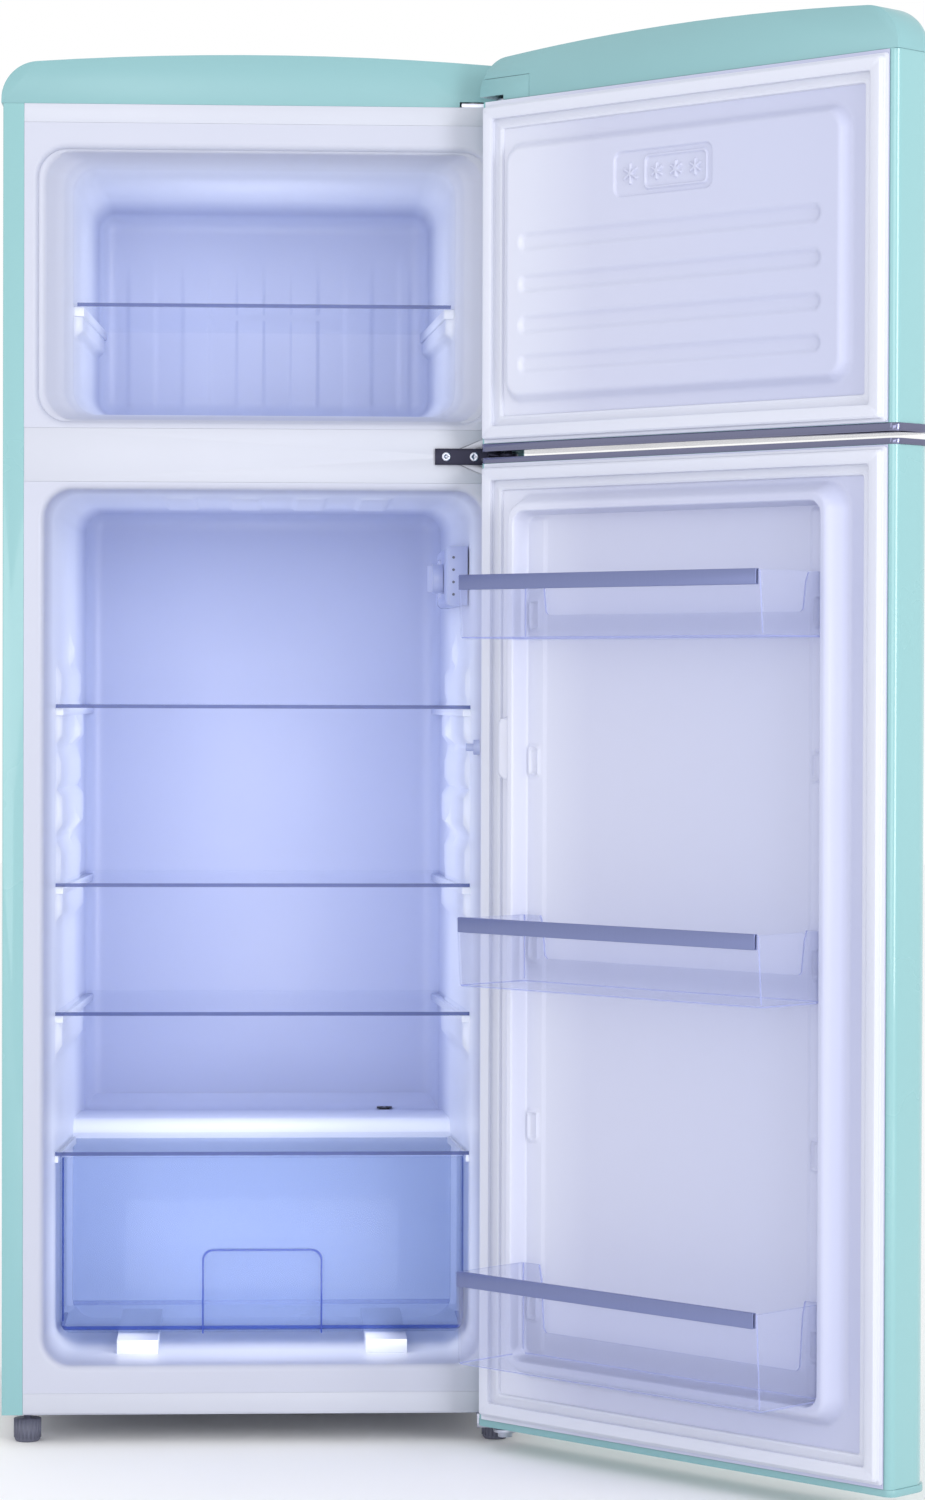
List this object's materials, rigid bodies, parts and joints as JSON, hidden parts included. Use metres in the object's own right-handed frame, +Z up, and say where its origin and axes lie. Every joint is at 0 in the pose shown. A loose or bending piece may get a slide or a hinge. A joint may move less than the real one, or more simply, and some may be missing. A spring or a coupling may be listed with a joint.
{
  "type": "top freezer refrigerator",
  "caption": "Upright two-door refrigerator with a freezer on top, arched cap, glass shelves, crisper drawer and clear door bins, with its doors standing open.",
  "frame": {"origin": "on the floor, on the centre line, under the plane of the cabinet's front face", "axes": "+Z up, +Y from the front face into the cabinet, +X to the hinge side (right, facing the front)"},
  "size_m": [0.9098, 0.9886, 1.4562],
  "materials": {
    "mint_paint": "gloss enamel",
    "mint_plastic": "gloss",
    "white_liner": "satin",
    "foam": "matte foam",
    "zinc_steel": "satin",
    "black_steel": "satin",
    "rubber": "matte",
    "gasket": "matte",
    "grey_plastic": "matte",
    "chrome_trim": "polished",
    "clear_glass": "polished",
    "clear_plastic": "clear gloss",
    "brushed_trim": "brushed",
    "white_plastic": "satin"
  },
  "bodies": {
    "cabinet": {"left_side_panel": "mint_paint", "right_side_panel": "mint_paint", "top_cap": "mint_plastic", "back_panel": "zinc_steel", "base_steel": "zinc_steel", "insulation": "foam", "freezer_liner": "white_liner", "fridge_liner": "white_liner", "mullion_cover": "white_liner", "front_rails": "white_liner", "shelf_rests": "white_liner", "compressor": "black_steel", "compressor_grommets": "rubber", "evaporating_tray": "grey_plastic", "condenser": "black_steel", "condenser_clips": "grey_plastic", "cord_gland": "grey_plastic", "rear_feet": "rubber", "drain_tube": "grey_plastic", "thermostat_housing": "white_plastic", "lamp": "clear_glass", "light_switch": "white_plastic", "top_hinge": "zinc_steel", "middle_hinge": "black_steel", "bottom_hinge": "zinc_steel", "hinge_screws": "zinc_steel"},
    "freezer_door": {"freezer_door_skin": "mint_paint", "freezer_door_foam": "foam", "freezer_door_liner": "white_liner", "freezer_door_gasket": "gasket", "freezer_door_trim": "chrome_trim", "freezer_door_cap": "mint_plastic", "cap_corner_cover": "mint_plastic", "freezer_door_handle": "chrome_trim", "freezer_door_bushes": "white_plastic"},
    "fridge_door": {"fridge_door_skin": "mint_paint", "fridge_door_foam": "foam", "fridge_door_liner": "white_liner", "fridge_door_gasket": "gasket", "fridge_door_trim": "chrome_trim", "fridge_door_foot": "mint_plastic", "fridge_door_handle": "chrome_trim", "fridge_door_bushes": "white_plastic"},
    "bin_top": {"top_bin": "clear_plastic", "top_bin_trim": "brushed_trim"},
    "bin_middle": {"middle_bin": "clear_plastic", "middle_bin_trim": "brushed_trim"},
    "bin_bottom": {"bottom_bin": "clear_plastic", "bottom_bin_trim": "brushed_trim"},
    "shelf_upper": {"upper_shelf": "clear_glass"},
    "shelf_middle": {"middle_shelf": "clear_glass"},
    "shelf_lower": {"lower_shelf": "clear_glass"},
    "cover_glass": {"crisper_cover": "clear_glass"},
    "shelf_freezer": {"freezer_shelf": "clear_glass"},
    "crisper": {"crisper_drawer": "clear_plastic"},
    "knob": {"thermostat_knob": "white_plastic"},
    "plunger": {"switch_plunger": "white_plastic"},
    "foot_left": {"left_front_foot": "grey_plastic"},
    "foot_right": {"right_front_foot": "grey_plastic"}
  },
  "joints": [
    {"name": "freezer_door_swing", "type": "hinge", "parent": "cabinet", "child": "freezer_door", "pos_m": [0.254, -0.035, 1.2], "axis": [0, 0, 1], "range_deg": [-133, 2]},
    {"name": "fridge_door_swing", "type": "hinge", "parent": "cabinet", "child": "fridge_door", "pos_m": [0.254, -0.035, 0.5], "axis": [0, 0, 1], "range_deg": [-133, 2]},
    {"name": "top_bin_lift", "type": "slide", "parent": "fridge_door", "child": "bin_top", "axis": [0, 0, 1], "range_m": [0, 0.025]},
    {"name": "middle_bin_lift", "type": "slide", "parent": "fridge_door", "child": "bin_middle", "axis": [0, 0, 1], "range_m": [0, 0.025]},
    {"name": "bottom_bin_lift", "type": "slide", "parent": "fridge_door", "child": "bin_bottom", "axis": [0, 0, 1], "range_m": [0, 0.025]},
    {"name": "upper_shelf_slide", "type": "slide", "parent": "cabinet", "child": "shelf_upper", "axis": [0, -1, 0], "range_m": [0, 0.2]},
    {"name": "middle_shelf_slide", "type": "slide", "parent": "cabinet", "child": "shelf_middle", "axis": [0, -1, 0], "range_m": [0, 0.2]},
    {"name": "lower_shelf_slide", "type": "slide", "parent": "cabinet", "child": "shelf_lower", "axis": [0, -1, 0], "range_m": [0, 0.2]},
    {"name": "crisper_cover_slide", "type": "slide", "parent": "cabinet", "child": "cover_glass", "axis": [0, -1, 0], "range_m": [0, 0.2]},
    {"name": "freezer_shelf_slide", "type": "slide", "parent": "cabinet", "child": "shelf_freezer", "axis": [0, -1, 0], "range_m": [0, 0.2]},
    {"name": "crisper_slide", "type": "slide", "parent": "cabinet", "child": "crisper", "axis": [0, -1, 0], "range_m": [0, 0.18]},
    {"name": "thermostat_turn", "type": "hinge", "parent": "cabinet", "child": "knob", "pos_m": [0.19, 0.178, 0.914], "axis": [1, 0, 0], "range_deg": [-150, 150]},
    {"name": "light_switch_press", "type": "slide", "parent": "cabinet", "child": "plunger", "axis": [1, 0, 0], "range_m": [0, 0.008], "stiffness_N_per_m": 200},
    {"name": "left_foot_turn", "type": "hinge", "parent": "cabinet", "child": "foot_left", "pos_m": [-0.247, 0.023, 0.01], "axis": [0, 0, 1], "range_deg": [-360, 360]},
    {"name": "right_foot_turn", "type": "hinge", "parent": "cabinet", "child": "foot_right", "pos_m": [0.247, 0.023, 0.01], "axis": [0, 0, 1], "range_deg": [-360, 360]}
  ]
}
